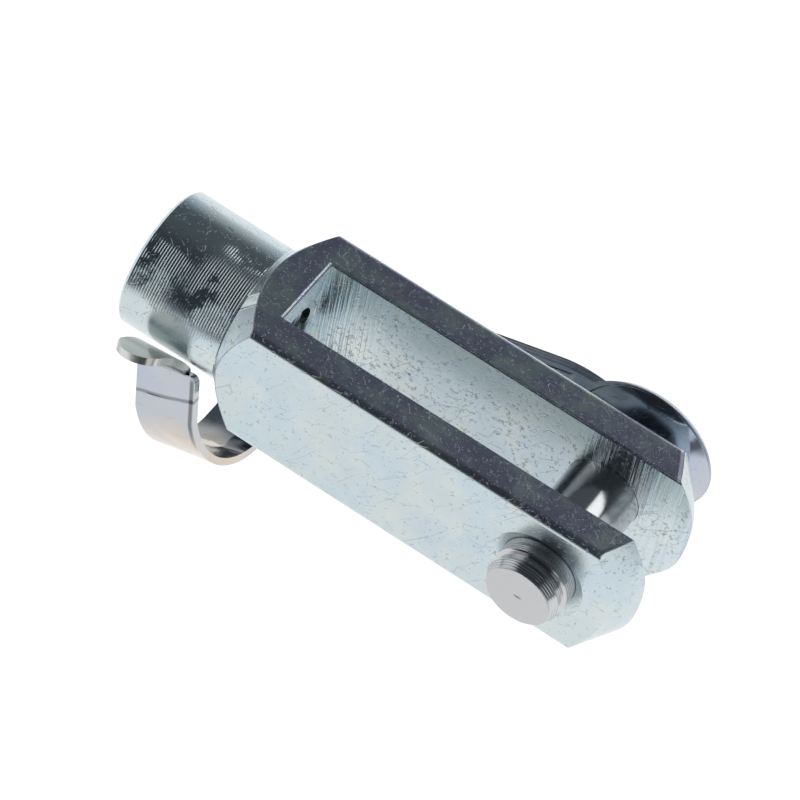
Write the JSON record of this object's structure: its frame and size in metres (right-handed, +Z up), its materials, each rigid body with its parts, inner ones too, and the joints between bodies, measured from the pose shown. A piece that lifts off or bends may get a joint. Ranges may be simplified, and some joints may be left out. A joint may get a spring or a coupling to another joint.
{
  "type": "clevis rod end",
  "caption": "Forked rod end with a tapped neck, a cross pin through both ears and a spring clip that swings about the pin and snaps round the neck.",
  "frame": {"origin": "on the pin's axis, half-way between the two ears", "axes": "+X along the rod axis towards the ears' tips (the tapped neck points to -X), +Y along the pin towards the clip's leaf (the pin's free end points to -Y), +Z up through the open slot"},
  "size_m": [0.0729, 0.0315, 0.0375],
  "materials": {
    "fork_zinc": "machined steel with bright bluish zinc plating, light scratches and pits",
    "pin_zinc": "turned steel with bright zinc plating",
    "clip_spring_steel": "smooth pressed spring steel with glossy zinc plating"
  },
  "bodies": {
    "fork": {"fork_head": "fork_zinc"},
    "clip_pin": {"clevis_pin": "pin_zinc", "spring_clip": "clip_spring_steel"}
  },
  "joints": [
    {"name": "clip_swing", "type": "hinge", "parent": "fork", "child": "clip_pin", "pos_m": [0, 0, 0], "axis": [0, -1, 0], "range_deg": [0, 318]}
  ]
}
